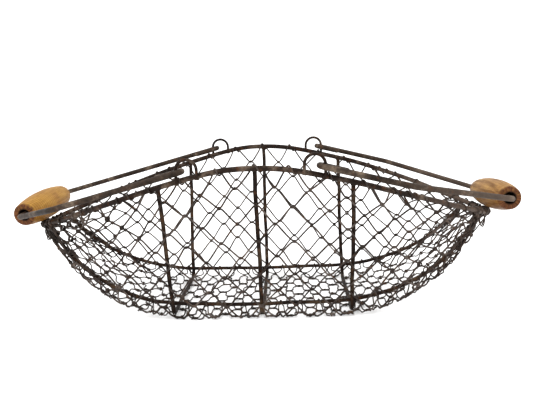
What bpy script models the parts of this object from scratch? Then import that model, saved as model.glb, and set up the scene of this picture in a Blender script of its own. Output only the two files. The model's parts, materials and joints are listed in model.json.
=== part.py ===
"""Boat-shaped wire harvest basket with two swinging bails and turned wooden grips.

+X runs along the basket's length, -Y is its front, +Z is up. The origin is the middle of the
flat underside of the netting floor. All sizes are in metres.
"""
import math

import bmesh
import bpy
from mathutils import Matrix, Vector

# Wire radii
RIM_WIRE = 0.0023
CHINE_WIRE = 0.0018
RIB_WIRE = 0.0019
EYE_WIRE = 0.00135
BAIL_WIRE = 0.0026
BINDING_WIRE = 0.0007

# Clearance left wherever two pieces touch
GAP = 0.0003

# Rim hoop, measured on its wire's centreline
RIM_HALF_LENGTH = 0.2225
RIM_HALF_WIDTH = 0.094
RIM_PLAN_POWER = 3.5
RIM_TIP_SOFTNESS = 0.008
RIM_MIDDLE_Z = 0.1465
RIM_TIP_Z = 0.084
RIM_ARCH_POWER = 1.23
RIM_ARCH_SOFTNESS = 0.12

# Chine wires, which run along the lower edges and rise to the rim near its tips
CHINE_HALF_LENGTH = 0.207
CHINE_HALF_WIDTH = 0.057
CHINE_PLAN_POWER = 3.15
CHINE_Z = 0.0132
CHINE_RISE_POWER = 4.0
CHINE_END_DROP = 0.0052

# Cross ribs
RIB_SPACING = 0.084
RIB_CORNER_RADIUS = 0.010
RIB_LAP = 0.001

# Netting, as thin shells just outside the ribs
NETTING_THICKNESS = 0.0012
NETTING_HALF_LENGTH = 0.203
NETTING_EDGE_DROP = 0.0028
NETTING_EDGE_INSET = 0.0025
NETTING_CHINE_OFFSET = 0.0045
NETTING_CORNER = 0.007
NETTING_FLOOR_RISE_END = 0.0076
FLOOR_FLAT_RISE = 0.001
STATIONS_PER_BAY = 4
STATIONS_PER_END = 8

# Wire eyes on the rim. Each pair was bent by hand, so its hinge line runs slightly askew
EYE_RADIUS = 0.00875
EYE_LEG_OVERLAP = 0.002
HINGE_Z = 0.147
HINGE_X = {"left": -0.0535, "right": 0.0540}
HINGE_YAW = {"left": math.radians(-1.9), "right": math.radians(-1.8)}
HINGE_ROLL = {"left": 0.0, "right": math.radians(-0.8)}

# Bails: hairpin hook, straight arm, knee, slanting run, corner, and the run through the grip.
# Each was bent by hand, so their knees differ and their cross runs are a little out of plane
BAIL_ARM = {"left": 0.1755, "right": 0.1790}
BAIL_TILT = {"left": math.radians(14.3), "right": math.radians(14.4)}
BAIL_TWIST = {"left": math.radians(-2.0), "right": math.radians(-4.0)}
BAIL_KNEES = {
    ("left", "front"): (0.119, 0.107),
    ("left", "back"): (0.150, 0.098),
    ("right", "front"): (0.085, 0.098),
    ("right", "back"): (0.085, 0.098),
}
BAIL_KNEE_RADIUS = 0.018
BAIL_CORNER_Y = 0.057
BAIL_CORNER_RADIUS = 0.006
HOOK_BEND_RADIUS = 0.0049
HOOK_TAIL = 0.030

# Wooden grips, which have slid a little towards the front on their cross runs
GRIP_LENGTH = 0.090
GRIP_SLIDE = {"left": 0.0035, "right": -0.0035}
GRIP_RADIUS = 0.0143
GRIP_END_RADIUS = 0.0108
GRIP_BORE_RADIUS = 0.0050
GRIP_EDGE = 0.0026
GRIP_SWELL_POWER = 2.2

# Binding wire wound round each tip of the rim
BINDING_TURNS = 5
BINDING_PITCH = 0.004
BINDING_STEP = 0.0004

SMOOTH_ANGLE = math.radians(35)


def clear_scene():
    for item in list(bpy.data.objects):
        bpy.data.objects.remove(item, do_unlink=True)


def make_material(name, colour, roughness, metallic):
    material = bpy.data.materials.new(name)
    material.use_nodes = True
    shader = material.node_tree.nodes["Principled BSDF"]
    shader.inputs["Base Color"].default_value = (*colour, 1.0)
    shader.inputs["Roughness"].default_value = roughness
    shader.inputs["Metallic"].default_value = metallic
    return material


# ---- the basket's lines -----------------------------------------------------------------


def rim_half_width(x):
    """Half width of the rim's plan; the softness rounds the hoop where its sides meet."""
    fullness = 1 - min(abs(x) / RIM_HALF_LENGTH, 1.0) ** RIM_PLAN_POWER
    span = math.hypot(RIM_HALF_WIDTH, RIM_TIP_SOFTNESS) - RIM_TIP_SOFTNESS
    return math.sqrt((RIM_TIP_SOFTNESS + fullness * span) ** 2 - RIM_TIP_SOFTNESS ** 2)


def rim_z(x):
    """Height of the rim's wire; the softness rounds the top of the arch."""
    along = min(abs(x) / RIM_HALF_LENGTH, 1.0)
    fall = math.hypot(along, RIM_ARCH_SOFTNESS) - RIM_ARCH_SOFTNESS
    full_fall = math.hypot(1.0, RIM_ARCH_SOFTNESS) - RIM_ARCH_SOFTNESS
    return RIM_MIDDLE_Z - (RIM_MIDDLE_Z - RIM_TIP_Z) * (fall / full_fall) ** RIM_ARCH_POWER


def chine_half_width(x):
    along = min(abs(x) / CHINE_HALF_LENGTH, 1.0)
    end = rim_half_width(CHINE_HALF_LENGTH)
    return end + (CHINE_HALF_WIDTH - end) * (1 - along ** CHINE_PLAN_POWER)


def chine_rise(x):
    along = min(abs(x) / CHINE_HALF_LENGTH, 1.0)
    rise = rim_z(CHINE_HALF_LENGTH) - CHINE_END_DROP - CHINE_Z
    return rise * along ** CHINE_RISE_POWER


def floor_z(x):
    """Height of the netting floor's middle surface, which is flat under the middle of the basket."""
    along = min(abs(x) / CHINE_HALF_LENGTH, 1.0)
    rise = chine_rise(x) + NETTING_FLOOR_RISE_END * along ** CHINE_RISE_POWER
    return NETTING_THICKNESS / 2 + max(0.0, rise - FLOOR_FLAT_RISE)


def section_edge(x):
    """Top edge of the wall netting in the cross section at x, as (y, z)."""
    return Vector((rim_half_width(x) - NETTING_EDGE_INSET, rim_z(x) - NETTING_EDGE_DROP))


def section_corner(x):
    """Corner of wall and floor in the cross section at x, before it is rounded."""
    return Vector((chine_half_width(x) + NETTING_CHINE_OFFSET, floor_z(x)))


# ---- point lists ------------------------------------------------------------------------


def even_points(points, spacing):
    """Points at even distances along a polyline."""
    lengths = [0.0]
    for before, after in zip(points, points[1:]):
        lengths.append(lengths[-1] + (after - before).length)
    count = max(1, round(lengths[-1] / spacing))
    result = []
    leg = 0
    for step in range(count + 1):
        target = lengths[-1] * step / count
        while leg < len(points) - 2 and lengths[leg + 1] < target:
            leg += 1
        share = (target - lengths[leg]) / (lengths[leg + 1] - lengths[leg])
        result.append(points[leg].lerp(points[leg + 1], share))
    return result


def rounded_route(corners, radii, arc_steps):
    """A polyline whose inner corners are replaced by arcs of the given radii."""
    route = [corners[0]]
    for before, corner, after, radius in zip(corners, corners[1:], corners[2:], radii):
        to_before = (before - corner).normalized()
        to_after = (after - corner).normalized()
        half_angle = to_before.angle(to_after) / 2
        centre = corner + (to_before + to_after).normalized() * radius / math.sin(half_angle)
        spoke = corner + to_before * radius / math.tan(half_angle) - centre
        axis = to_before.cross(to_after)
        turn = -(math.pi - 2 * half_angle)
        for step in range(arc_steps + 1):
            point = centre + Matrix.Rotation(turn * step / arc_steps, 3, axis) @ spoke
            if (point - route[-1]).length > GAP:
                route.append(point)
    route.append(corners[-1])
    return route


def thinned(points, longest, bend):
    """Fewer points along a fine polyline: one after each longest length or bend angle."""
    kept = [points[0]]
    heading = points[1] - points[0]
    for point, after in zip(points[1:], points[2:]):
        turned = heading.angle(after - point)
        if turned >= bend or (point - kept[-1]).length >= longest:
            kept.append(point)
            heading = after - point
    kept.append(points[-1])
    return kept


def rim_quarter(count=600):
    """A quarter of the rim hoop, from its right tip round the back to the middle of its length."""
    points = []
    for step in range(count + 1):
        x = RIM_HALF_LENGTH * math.cos(math.pi / 2 * step / count)
        points.append(Vector((x, rim_half_width(x), rim_z(x))))
    return points


def mirrored(points, side_x, side_y):
    return [Vector((p.x * side_x, p.y * side_y, p.z)) for p in points]


# ---- solids -----------------------------------------------------------------------------


def add_object(name, data, material, location=(0, 0, 0)):
    item = bpy.data.objects.new(name, data)
    item.location = location
    data.materials.append(material)
    bpy.context.scene.collection.objects.link(item)
    return item


def wire_curve(name, points, radius, closed=False, bevel_resolution=2):
    """Curve data for a round wire along the points, with filled ends."""
    curve = bpy.data.curves.new(name, "CURVE")
    curve.dimensions = "3D"
    curve.bevel_depth = radius
    curve.bevel_resolution = bevel_resolution
    curve.use_fill_caps = True
    spline = curve.splines.new("POLY")
    spline.points.add(len(points) - 1)
    for spline_point, point in zip(spline.points, points):
        spline_point.co = (*point, 1.0)
    spline.use_cyclic_u = closed
    return curve


def closed_grid(name, rows):
    """A closed mesh skinned over rows of points, each row being a closed loop."""
    mesh = bpy.data.meshes.new(name)
    built = bmesh.new()
    loops = [[built.verts.new(point) for point in row] for row in rows]
    count = len(loops[0])
    for near, far in zip(loops, loops[1:]):
        for i in range(count):
            j = (i + 1) % count
            built.faces.new((near[i], near[j], far[j], far[i]))
    for end in (loops[0], loops[-1]):
        for i in range(count // 2 - 1):
            built.faces.new((end[i], end[i + 1], end[-2 - i], end[-1 - i]))
    bmesh.ops.recalc_face_normals(built, faces=built.faces)
    built.to_mesh(mesh)
    built.free()
    return mesh


def turned_mesh(name, profile, sides):
    """A mesh turned about Y from a closed profile of (y, radius) points."""
    mesh = bpy.data.meshes.new(name)
    built = bmesh.new()
    rings = []
    for side in range(sides):
        angle = 2 * math.pi * side / sides
        rings.append([built.verts.new((r * math.cos(angle), y, r * math.sin(angle))) for y, r in profile])
    for near, far in zip(rings, rings[1:] + rings[:1]):
        for i in range(len(profile)):
            j = (i + 1) % len(profile)
            built.faces.new((near[i], near[j], far[j], far[i]))
    bmesh.ops.recalc_face_normals(built, faces=built.faces)
    built.to_mesh(mesh)
    built.free()
    mesh.shade_smooth()
    mesh.set_sharp_from_angle(angle=SMOOTH_ANGLE)
    return mesh


# ---- sub-parts --------------------------------------------------------------------------


def build_rim(steel):
    quarter = thinned(rim_quarter(), 0.012, math.radians(10))
    back = quarter[:-1] + mirrored(quarter, -1, 1)[::-1]
    loop = back[:-1] + mirrored(back, 1, -1)[:0:-1]
    add_object("rim_hoop", wire_curve("rim_hoop", loop, RIM_WIRE, closed=True), steel)


def build_chine(name, side, steel):
    points = []
    for step in range(201):
        x = CHINE_HALF_LENGTH * math.sin(math.pi * (step / 200 - 0.5))
        points.append(Vector((x, side * chine_half_width(x), CHINE_Z + chine_rise(x))))
    add_object(name, wire_curve(name, even_points(points, 0.010), CHINE_WIRE), steel)


def build_rib(name, x, steel):
    """A U-shaped rib just inside the netting: outside the chines, inside the rim."""
    inset = RIB_WIRE + GAP + NETTING_THICKNESS / 2
    edge = section_edge(x)
    corner = section_corner(x)
    along = (edge - corner).normalized()
    inward = Vector((-along.y, along.x))
    base = corner + inward * inset
    foot = base + along * (corner.y + inset - base.y) / along.y
    top = base + along * (rim_z(x) + RIB_LAP - base.y) / along.y
    corners = [
        Vector((x, -top.x, top.y)),
        Vector((x, -foot.x, foot.y)),
        Vector((x, foot.x, foot.y)),
        Vector((x, top.x, top.y)),
    ]
    route = rounded_route(corners, [RIB_CORNER_RADIUS, RIB_CORNER_RADIUS], 6)
    add_object(name, wire_curve(name, route, RIB_WIRE), steel)


def eye_plane_y():
    """Distance of the eyes' wires from the middle plane: against the rim's outer face."""
    innermost = min(abs(x) for x in HINGE_X.values()) - EYE_RADIUS
    return rim_half_width(innermost) + RIM_WIRE + GAP + EYE_WIRE


def hinge_point(hand, y):
    """The point of a bail's hinge line at distance y from the middle plane."""
    x = HINGE_X[hand] - y * math.tan(HINGE_YAW[hand])
    z = HINGE_Z + y * math.tan(HINGE_ROLL[hand]) / math.cos(HINGE_YAW[hand])
    return Vector((x, y, z))


def build_eye(name, hand, side_y, steel):
    """An inverted U round the hinge line, whose legs lap down the outer face of the rim."""
    middle, y, centre_z = hinge_point(hand, side_y * eye_plane_y())
    top = centre_z + EYE_RADIUS
    legs = [middle - EYE_RADIUS, middle + EYE_RADIUS]
    corners = [
        Vector((legs[0], y, rim_z(legs[0]) - EYE_LEG_OVERLAP)),
        Vector((legs[0], y, top)),
        Vector((legs[1], y, top)),
        Vector((legs[1], y, rim_z(legs[1]) - EYE_LEG_OVERLAP)),
    ]
    route = rounded_route(corners, [EYE_RADIUS, EYE_RADIUS], 6)
    add_object(name, wire_curve(name, route, EYE_WIRE), steel)


def bail_route(hand):
    """A bail in its own axes: X out from the hinge line, Y across the basket, Z up."""
    eye_y = eye_plane_y()
    bend_x = EYE_RADIUS - HOOK_BEND_RADIUS
    halves = []
    depths = ("back", "front") if hand == "right" else ("front", "back")
    for side, depth in zip((1, -1), depths):
        knee_x, knee_y = BAIL_KNEES[hand, depth]
        corner_y = side * BAIL_CORNER_Y
        halves.append([
            Vector((HOOK_TAIL, side * (eye_y - HOOK_BEND_RADIUS), 0)),
            Vector((bend_x, side * (eye_y - HOOK_BEND_RADIUS), 0)),
            Vector((bend_x, side * (eye_y + HOOK_BEND_RADIUS), 0)),
            Vector((knee_x, side * knee_y, 0)),
            Vector((BAIL_ARM[hand], corner_y, corner_y * math.tan(BAIL_TWIST[hand]))),
        ])
    radii = [HOOK_BEND_RADIUS, HOOK_BEND_RADIUS, BAIL_KNEE_RADIUS, BAIL_CORNER_RADIUS]
    return rounded_route(halves[0] + halves[1][::-1], radii + radii[::-1], 6)


def build_bail(hand, steel):
    """A bail, whose origin lies on its hinge line and whose arms slope down and outward."""
    name = f"bail_{hand}"
    bail = add_object(name, wire_curve(name, bail_route(hand), BAIL_WIRE), steel)
    heading = 0 if hand == "right" else math.pi
    askew = Matrix.Rotation(HINGE_YAW[hand], 4, "Z") @ Matrix.Rotation(HINGE_ROLL[hand], 4, "X")
    sloped = Matrix.Rotation(heading, 4, "Z") @ Matrix.Rotation(BAIL_TILT[hand], 4, "Y")
    bail.matrix_world = Matrix.Translation((HINGE_X[hand], 0, HINGE_Z)) @ askew @ sloped
    return bail


def grip_profile():
    """Barrel outline of a grip and its bore, as (distance along the bore, radius) points."""
    steps = 8
    half = GRIP_LENGTH / 2
    outline = []
    for step in range(steps + 1):
        share = 2 * step / steps - 1
        swell = 1 - abs(share) ** GRIP_SWELL_POWER
        outline.append((share * (half - GRIP_EDGE), GRIP_END_RADIUS + (GRIP_RADIUS - GRIP_END_RADIUS) * swell))
    shoulder = GRIP_END_RADIUS - GRIP_EDGE
    return [(-half, GRIP_BORE_RADIUS), (-half, shoulder), *outline, (half, shoulder), (half, GRIP_BORE_RADIUS)]


def build_grip(hand, bail, wood):
    """A grip on its bail's cross run, with its origin on its own turning axis."""
    name = f"grip_{hand}"
    middle = Vector((BAIL_ARM[hand], GRIP_SLIDE[hand], GRIP_SLIDE[hand] * math.tan(BAIL_TWIST[hand])))
    grip = add_object(name, turned_mesh(name, grip_profile(), 24), wood, middle)
    grip.rotation_euler.x = BAIL_TWIST[hand]
    grip.parent = bail


def wall_section(x, side):
    """Middle line of the wall netting at x, from the rim down round the rounded corner."""
    edge = section_edge(x)
    corner = section_corner(x)
    reach = min(NETTING_CORNER, 0.45 * (edge - corner).length)
    above = corner + (edge - corner).normalized() * reach
    inside = corner - Vector((reach, 0))
    line = [edge.lerp(above, step / 3) for step in range(3)]
    for step in range(5):
        t = step / 4
        line.append(above * (1 - t) ** 2 + corner * 2 * t * (1 - t) + inside * t ** 2)
    return [Vector((x, side * p.x, p.y)) for p in line]


def floor_section(x):
    """Middle line of the floor netting at x, from the front wall's foot to the back wall's."""
    half = wall_section(x, 1)[-1].y - GAP
    return [Vector((x, half * share, floor_z(x))) for share in (-1, -0.5, 0.5, 1)]


def thick_loop(line):
    """A closed loop round a line in a YZ plane, half the netting's thickness off each side."""
    outer = []
    inner = []
    for i, point in enumerate(line):
        heading = (line[min(i + 1, len(line) - 1)] - line[max(i - 1, 0)]).normalized()
        offset = Vector((0, -heading.z, heading.y)) * NETTING_THICKNESS / 2
        outer.append(point + offset)
        inner.append(point - offset)
    return outer + inner[::-1]


def netting_stations():
    """Cross sections along the basket, one of them at each rib."""
    bay = [RIB_SPACING * step / STATIONS_PER_BAY for step in range(STATIONS_PER_BAY)]
    end_step = (NETTING_HALF_LENGTH - RIB_SPACING) / STATIONS_PER_END
    half = bay + [RIB_SPACING + end_step * step for step in range(STATIONS_PER_END + 1)]
    return [-x for x in reversed(half[1:])] + half


def build_netting(steel):
    stations = netting_stations()
    for name, side in (("netting_front", -1), ("netting_back", 1)):
        rows = [thick_loop(wall_section(x, side)) for x in stations]
        add_object(name, closed_grid(name, rows), steel)
    rows = [thick_loop(floor_section(x)) for x in stations]
    add_object("netting_floor", closed_grid("netting_floor", rows), steel)


def build_binding(name, side, steel):
    """A short coil of thin wire wound round one tip of the rim."""
    quarter = rim_quarter()
    centreline = even_points(mirrored(quarter, 1, -1)[::-1] + quarter[1:], BINDING_STEP)
    middle = len(centreline) // 2
    radius = RIM_WIRE + GAP + BINDING_WIRE
    points = []
    half_steps = round(BINDING_TURNS * BINDING_PITCH / BINDING_STEP / 2)
    for step in range(-half_steps, half_steps + 1):
        centre = centreline[middle + step]
        heading = (centreline[middle + step + 1] - centreline[middle + step - 1]).normalized()
        across = heading.cross(Vector((0, 0, 1))).normalized()
        upward = across.cross(heading)
        angle = 2 * math.pi * step * BINDING_STEP / BINDING_PITCH
        points.append(centre + (across * math.cos(angle) + upward * math.sin(angle)) * radius)
    coil = mirrored(points, side, 1)
    add_object(name, wire_curve(name, coil, BINDING_WIRE, bevel_resolution=1), steel)


def main():
    clear_scene()
    frame_steel = make_material("frame_wire", (0.105, 0.085, 0.068), 0.55, 0.75)
    bail_steel = make_material("bail_wire", (0.130, 0.108, 0.088), 0.50, 0.75)
    net_steel = make_material("netting_wire", (0.090, 0.074, 0.062), 0.55, 0.75)
    wood = make_material("grip_wood", (0.520, 0.270, 0.090), 0.55, 0.0)

    build_rim(frame_steel)
    build_chine("chine_front", -1, frame_steel)
    build_chine("chine_back", 1, frame_steel)
    for name, place in (("rib_left", -1), ("rib_middle", 0), ("rib_right", 1)):
        build_rib(name, place * RIB_SPACING, frame_steel)
    for side_y, depth in ((-1, "front"), (1, "back")):
        for hand in ("left", "right"):
            build_eye(f"eye_{depth}_{hand}", hand, side_y, frame_steel)
    build_netting(net_steel)
    for side, hand in ((-1, "left"), (1, "right")):
        build_grip(hand, build_bail(hand, bail_steel), wood)
        build_binding(f"tip_binding_{hand}", side, net_steel)


main()
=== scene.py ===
"""Looks for the wire harvest basket: woven netting, wound wires, weld beads and turned grips.

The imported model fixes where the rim, chines, ribs, eyes, bails and grips are. This script puts a
finer piece in the place of each, in metres, with +X along the basket and +Z up.
"""

import json
import math

import bmesh
import bpy
import numpy as np
from mathutils import Matrix, Vector


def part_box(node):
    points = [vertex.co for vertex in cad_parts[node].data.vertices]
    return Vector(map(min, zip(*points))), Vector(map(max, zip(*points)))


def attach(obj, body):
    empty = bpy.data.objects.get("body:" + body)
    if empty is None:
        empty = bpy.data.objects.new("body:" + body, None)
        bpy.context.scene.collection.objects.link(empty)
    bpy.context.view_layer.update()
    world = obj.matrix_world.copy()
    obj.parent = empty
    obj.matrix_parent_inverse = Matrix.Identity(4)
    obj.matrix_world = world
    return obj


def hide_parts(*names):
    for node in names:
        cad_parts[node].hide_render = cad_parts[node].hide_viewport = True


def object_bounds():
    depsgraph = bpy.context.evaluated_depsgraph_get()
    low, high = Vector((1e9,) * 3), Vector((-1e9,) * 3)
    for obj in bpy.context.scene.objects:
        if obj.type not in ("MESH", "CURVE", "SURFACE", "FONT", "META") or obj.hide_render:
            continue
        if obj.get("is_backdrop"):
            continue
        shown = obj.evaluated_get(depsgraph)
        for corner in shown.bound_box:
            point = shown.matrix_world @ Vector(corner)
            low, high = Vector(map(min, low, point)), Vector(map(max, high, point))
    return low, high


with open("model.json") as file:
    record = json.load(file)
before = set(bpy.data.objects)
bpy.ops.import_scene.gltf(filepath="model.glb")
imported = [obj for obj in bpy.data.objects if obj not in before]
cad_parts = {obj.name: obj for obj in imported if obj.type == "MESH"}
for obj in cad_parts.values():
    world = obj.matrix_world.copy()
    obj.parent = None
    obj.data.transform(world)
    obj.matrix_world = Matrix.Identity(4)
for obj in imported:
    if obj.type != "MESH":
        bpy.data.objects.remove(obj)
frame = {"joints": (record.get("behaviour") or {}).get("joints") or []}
cad_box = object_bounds()

# ---- sizes ------------------------------------------------------------------------------

# Wire radii
RIM_WIRE = 0.0023
CHINE_WIRE = 0.0018
RIB_WIRE = 0.0019
EYE_WIRE = 0.00135
BAIL_WIRE = 0.0026
NET_WIRE = 0.00066
BINDING_WIRE = 0.0007

# Rim hoop, measured on its wire's centreline
rim_low, rim_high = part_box("rim_hoop")
RIM_HALF_LENGTH = rim_high.x - RIM_WIRE
RIM_HALF_WIDTH = rim_high.y - RIM_WIRE
RIM_MIDDLE_Z = rim_high.z - RIM_WIRE
RIM_TIP_Z = rim_low.z + RIM_WIRE
RIM_PLAN_POWER = 3.5
RIM_TIP_SOFTNESS = 0.008
RIM_ARCH_POWER = 1.23
RIM_ARCH_SOFTNESS = 0.12

# Chine wires
chine_low, chine_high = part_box("chine_back")
CHINE_HALF_LENGTH = 0.207
CHINE_HALF_WIDTH = chine_high.y - CHINE_WIRE
CHINE_Z = chine_low.z + CHINE_WIRE
CHINE_PLAN_POWER = 3.15
CHINE_RISE_POWER = 4.0
CHINE_END_DROP = 0.0052

# Ribs
RIB_INSET = 0.0028
RIB_CORNER_RADIUS = 0.010
RIB_LAP = 0.001
RIB_NODES = ("rib_left", "rib_middle", "rib_right")

# Surface that the netting lies on
FLOOR_MIDDLE_Z = 0.0006
FLOOR_RISE_END = 0.0076
FLOOR_FLAT_RISE = 0.001
EDGE_INSET = 0.0025
EDGE_DROP = 0.0028
CORNER_OFFSET = 0.0045
CORNER_REACH = 0.006
FLOOR_CORNER_REACH = 0.007
FLOOR_BULGE = 0.0035

# Thicker wire than the nominal one, in the walls and in the rim, for the look of old wire
WALL_WIRE_SHARE = 1.25
RIM_WIRE_SHARE = 1.05

# Turns of the walls' netting round the rim, and half of the length that one turn takes
RIM_WRAP_RADIUS = RIM_WIRE + NET_WIRE * 1.4
RIM_WRAP_HALF = 0.0041

# Half of the length of the turns of the floor's netting round the chines
CHINE_WRAP_HALF = 0.0018

# Extra ties from the walls' netting up to the rim
TIES_FROM_X = 0.10
TIES_TO_X = 0.16
TIE_EVERY = 4

# Where netting wires are wound round the rim, as distances from the middle of its tip
TIP_FIRST_WIRE = 0.002
TIP_WIRE_SPACING = 0.0036

# Lacing on each end of each chine, as (turns, length, radius)
LACING = (
    (7, 0.110, CHINE_WIRE + NET_WIRE),
    (2, 0.040, CHINE_WIRE + 2 * NET_WIRE),
)

# Half sizes of the weld beads, and how far their middles are moved from the wires' lines
RIB_WELD = (0.0030, 0.0024, 0.0026)
RIB_WELD_DROP = 0.0010
CHINE_WELD = (0.0030, 0.0026, 0.0030)
CHINE_WELD_FROM_END = 0.0010
CHINE_WELD_RISE = 0.0020
EYE_WELD = (0.0024, 0.0015, 0.0024)
EYE_WELD_INSET = 0.0008
EYE_WELD_DROP = 0.0006

# Eyes and bails; a bail's knees are in its own plane, from its hinge line and its middle
joints = {joint["name"]: joint for joint in frame["joints"]}
EYE_GAP = 0.0003
EYE_RADIUS = 0.00875
EYE_LEG_OVERLAP = 0.002
BAIL_KNEES = {
    ("left", "front"): (0.119, 0.107),
    ("left", "back"): (0.150, 0.098),
    ("right", "front"): (0.085, 0.098),
    ("right", "back"): (0.085, 0.098),
}
BAIL_KNEE_RADIUS = 0.018
BAIL_CORNER_Y = 0.057
BAIL_CORNER_RADIUS = 0.006
HOOK_BEND_RADIUS = 0.0049
HOOK_TAIL = 0.030

# Painted light on the metal towards the basket's right end: where it starts, and the paler colour
# painted there
RIGHT_LIGHT_FROM_X = 0.12
RIGHT_LIT_STEEL = (0.175, 0.128, 0.100)

# Grips
GRIP_HALF = 0.045
GRIP_RADIUS = 0.0143
GRIP_END_RADIUS = 0.0108
GRIP_BORE_RADIUS = 0.0050
GRIP_EDGE = 0.0028

# Directions along X and along Y, and the span that a random phase is drawn from, in radians
SIDES = {"left": -1, "right": 1}
DEPTHS = {"front": -1, "back": 1}
ANY_PHASE = 6.28

# Studio: name, place, size and power of each lamp, and the camera, with its angles in degrees
LAMPS = (
    ("key", (-0.9, -1.2, 1.7), 1.6, 22.0),
    ("fill", (1.4, -0.8, 1.1), 1.8, 8.0),
)
SKY_STRENGTH = 1.55
FLOOR_REACH = 60.0
CAMERA_PLACE = (0.0321, -0.5833, 0.2109)
CAMERA_YAW = 2.637
CAMERA_PITCH = -10.635
CAMERA_ROLL = 2.252
CAMERA_LENS = 39.85


# ---- the basket's lines -----------------------------------------------------------------


def rim_half_width(x):
    fullness = 1 - np.minimum(np.abs(x) / RIM_HALF_LENGTH, 1.0) ** RIM_PLAN_POWER
    span = math.hypot(RIM_HALF_WIDTH, RIM_TIP_SOFTNESS) - RIM_TIP_SOFTNESS
    return np.sqrt((RIM_TIP_SOFTNESS + fullness * span) ** 2 - RIM_TIP_SOFTNESS ** 2)


def rim_z(x):
    along = np.minimum(np.abs(x) / RIM_HALF_LENGTH, 1.0)
    fall = np.hypot(along, RIM_ARCH_SOFTNESS) - RIM_ARCH_SOFTNESS
    full_fall = math.hypot(1.0, RIM_ARCH_SOFTNESS) - RIM_ARCH_SOFTNESS
    return RIM_MIDDLE_Z - (RIM_MIDDLE_Z - RIM_TIP_Z) * (fall / full_fall) ** RIM_ARCH_POWER


def chine_share(x):
    return np.minimum(np.abs(x) / CHINE_HALF_LENGTH, 1.0)


def chine_half_width(x):
    end = rim_half_width(CHINE_HALF_LENGTH)
    return end + (CHINE_HALF_WIDTH - end) * (1 - chine_share(x) ** CHINE_PLAN_POWER)


def chine_rise(x):
    rise = rim_z(CHINE_HALF_LENGTH) - CHINE_END_DROP - CHINE_Z
    return rise * chine_share(x) ** CHINE_RISE_POWER


def floor_z(x):
    rise = chine_rise(x) + FLOOR_RISE_END * chine_share(x) ** CHINE_RISE_POWER
    return FLOOR_MIDDLE_Z + np.maximum(0.0, rise - FLOOR_FLAT_RISE)


def section_corner(x):
    """Corner of wall and floor netting at x, as (half width, z)."""
    half_width = min(chine_half_width(x) + CORNER_OFFSET, rim_half_width(x) + CORNER_OFFSET / 2)
    return np.array([half_width, floor_z(x)])


def joint_line(joint_name):
    """A joint's place and its axis, turned to point to the back."""
    joint = joints[joint_name]
    axis = Vector(joint["axis"]).normalized()
    return Vector(joint["pos_m"]), axis if axis.y > 0 else -axis


def hinge_point(hand, y):
    """The point of a bail's hinge line at distance y from the middle plane."""
    place, axis = joint_line(f"bail_{hand}_swing")
    return place + axis * (y / axis.y)


def eye_plane_y():
    innermost = min(abs(hinge_point(hand, 0).x) for hand in SIDES) - EYE_RADIUS
    return rim_half_width(innermost) + RIM_WIRE + EYE_GAP + EYE_WIRE


# ---- point lists ------------------------------------------------------------------------


def unit(vector):
    return vector / np.linalg.norm(vector)


def lengths_along(points):
    steps = np.linalg.norm(np.diff(points, axis=0), axis=1)
    return np.concatenate([[0.0], np.cumsum(steps)])


def resampled(points, count):
    """Points at even distances along a polyline."""
    points = np.asarray(points, float)
    lengths = lengths_along(points)
    stations = np.linspace(0, lengths[-1], count)
    return np.column_stack([np.interp(stations, lengths, column) for column in points.T])


def spaced(points, spacing):
    return resampled(points, max(2, round(lengths_along(np.asarray(points))[-1] / spacing) + 1))


def quadratic(start, control, end, count):
    """Points of the curve that leaves start for control and arrives at end from it."""
    t = np.linspace(0, 1, count)[:, None]
    return start * (1 - t) ** 2 + control * 2 * t * (1 - t) + end * t ** 2


def rounded_route(corners, radii, arc_steps):
    """A polyline whose inner corners are replaced by arcs of the given radii."""
    corners = [Vector(corner) for corner in corners]
    route = [corners[0]]
    for before, corner, after, radius in zip(corners, corners[1:], corners[2:], radii):
        to_before = (before - corner).normalized()
        to_after = (after - corner).normalized()
        half_angle = to_before.angle(to_after) / 2
        centre = corner + (to_before + to_after).normalized() * radius / math.sin(half_angle)
        spoke = corner + to_before * radius / math.tan(half_angle) - centre
        axis = to_before.cross(to_after)
        turn = 2 * half_angle - math.pi
        for step in range(arc_steps + 1):
            route.append(centre + Matrix.Rotation(turn * step / arc_steps, 3, axis) @ spoke)
    route.append(corners[-1])
    return np.array(route)


def wavered(points, size, wavelength, rng):
    """Points moved off their line by a slow, small wander, as hand-bent wire has."""
    lengths = lengths_along(points)
    moved = points.copy()
    for stretch in (1.0, 0.43, 0.19):
        phases = rng.uniform(0, 2 * math.pi, 3)
        waves = np.sin(2 * math.pi * lengths[:, None] / (wavelength * stretch) + phases)
        moved += waves * size * stretch
    return moved


def headings(points):
    """Unit direction of a polyline at each point."""
    steps = np.gradient(points, axis=0)
    return steps / np.linalg.norm(steps, axis=1)[:, None]


def wound(centreline, start, turns, length, radius, phase, steps_per_turn=12):
    """A helix round a centreline, from the distance start along it, in its own frame."""
    lengths = lengths_along(centreline)
    direction = headings(centreline)
    count = max(4, int(abs(turns) * steps_per_turn))
    points = []
    for step in range(count + 1):
        share = step / count
        station = start + length * share
        centre = np.array([np.interp(station, lengths, column) for column in centreline.T])
        heading = unit(np.array([np.interp(station, lengths, column) for column in direction.T]))
        across = unit(np.cross(heading, (0.0, 0.0, 1.0)))
        upward = np.cross(across, heading)
        angle = phase + 2 * math.pi * turns * share
        points.append(centre + radius * (across * math.cos(angle) + upward * math.sin(angle)))
    return np.array(points)


# ---- objects ----------------------------------------------------------------------------


def add_object(name, data, material, body, replaced=(), place=None):
    """A piece on a body. Its data is in world places, unless a place is given."""
    item = bpy.data.objects.new(name, data)
    if place is not None:
        item.matrix_world = place
    bpy.context.scene.collection.objects.link(item)
    data.materials.append(material)
    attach(item, body)
    if replaced:
        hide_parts(*replaced)


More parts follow.
